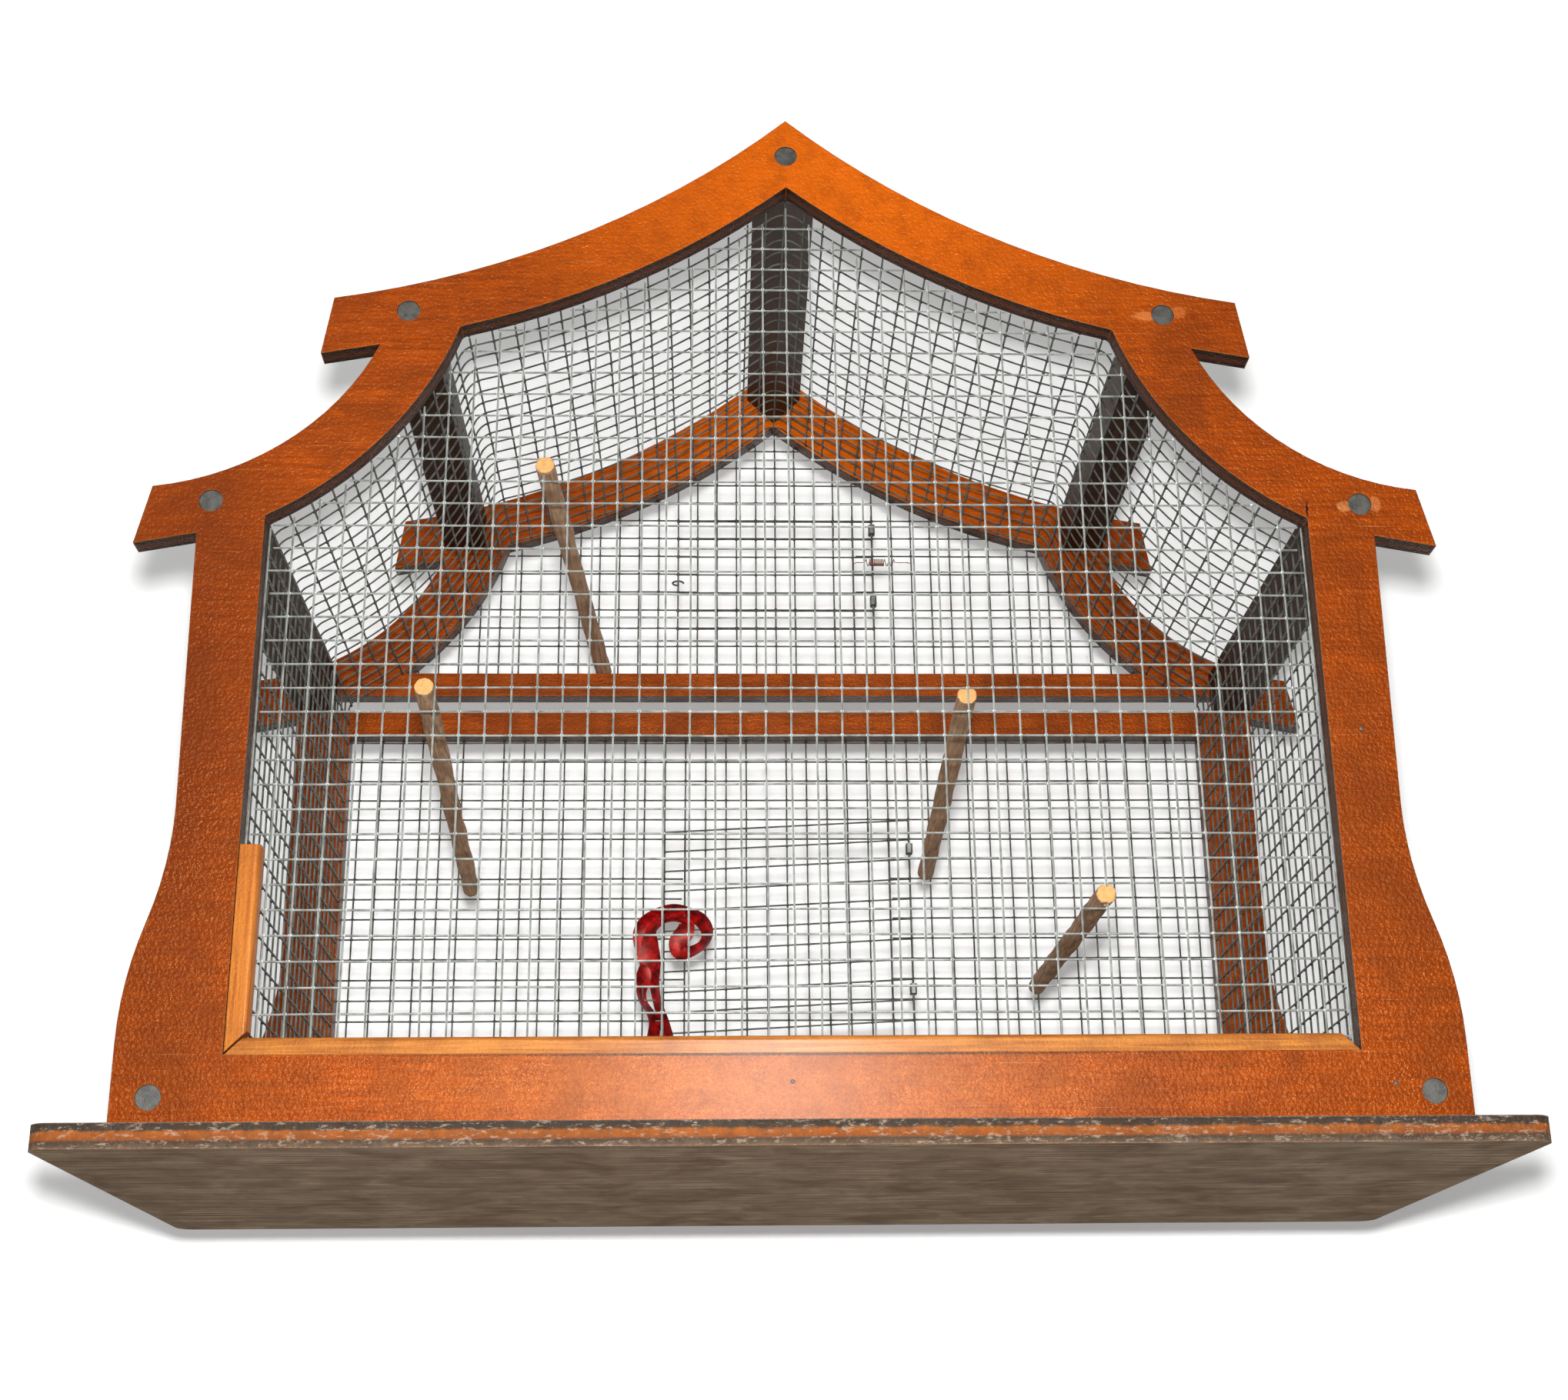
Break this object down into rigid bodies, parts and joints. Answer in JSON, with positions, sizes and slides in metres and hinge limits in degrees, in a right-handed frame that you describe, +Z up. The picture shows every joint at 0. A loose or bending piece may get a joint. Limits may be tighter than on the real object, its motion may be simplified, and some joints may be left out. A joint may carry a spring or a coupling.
{
  "type": "bird cage",
  "caption": "Wooden bird cage with a pagoda-like roof outline, plywood end frames, wire net on every side, perches and net doors at the back.",
  "frame": {"origin": "middle of the underside of the base board", "axes": "+Z up, front frame towards -Y, +X to the right seen from the front"},
  "size_m": [0.703, 0.308, 0.5588],
  "materials": {
    "stained_plywood": "orange-brown stain and satin varnish on plywood, worn edges",
    "base_plywood": "weathered grey-brown plywood with dark edges",
    "dark_rail_wood": "dark brown stained softwood",
    "bead_wood": "light orange stained bead",
    "dowel_wood": "weathered dowel with fresh cut ends",
    "galvanised_wire": "dull galvanised welded wire",
    "dull_clip_steel": "dull grey steel",
    "rusty_spring_steel": "brown rusted spring wire",
    "screw_heads": "blackened screw heads",
    "red_ribbon": "satin ribbon"
  },
  "bodies": {
    "root": {"base_board": "base_plywood", "front_frame": "stained_plywood", "back_gable_frame": "stained_plywood", "back_lower_frame": "stained_plywood", "ridge_rail": "dark_rail_wood", "upper_eave_rail_left": "dark_rail_wood", "upper_eave_rail_right": "dark_rail_wood", "lower_eave_rail_left": "dark_rail_wood", "lower_eave_rail_right": "dark_rail_wood", "sill_rail_left": "dark_rail_wood", "sill_rail_right": "dark_rail_wood", "bottom_bead": "bead_wood", "left_bead": "bead_wood", "front_mesh": "galvanised_wire", "roof_mesh_left": "galvanised_wire", "roof_mesh_right": "galvanised_wire", "eave_mesh_left": "galvanised_wire", "eave_mesh_right": "galvanised_wire", "side_mesh_left": "galvanised_wire", "side_mesh_right": "galvanised_wire", "gable_mesh": "galvanised_wire", "lower_back_mesh": "galvanised_wire", "gable_door_clips": "dull_clip_steel", "lower_door_clips": "dull_clip_steel", "gable_door_spring": "rusty_spring_steel", "tie_ribbon": "red_ribbon", "upper_left_perch": "dowel_wood", "middle_left_perch": "dowel_wood", "middle_right_perch": "dowel_wood", "lower_right_perch": "dowel_wood", "front_frame_screws": "screw_heads", "back_frame_screws": "screw_heads"},
    "gable_flap": {"gable_door": "galvanised_wire", "gable_door_hook": "dull_clip_steel"},
    "lower_flap": {"lower_door": "galvanised_wire"}
  },
  "joints": [
    {"name": "gable_door_hinge", "type": "hinge", "parent": "root", "child": "gable_flap", "pos_m": [0.0642, 0.14945, 0.4155], "axis": [0, 0, -1], "range_deg": [0, 110], "stiffness_Nm_per_rad": 0.02, "springref_deg": -20.05, "deforming": ["gable_door_spring"]},
    {"name": "lower_door_hinge", "type": "hinge", "parent": "root", "child": "lower_flap", "pos_m": [0.0825, 0.14945, 0.1845], "axis": [0, 0, -1], "range_deg": [0, 160]}
  ]
}
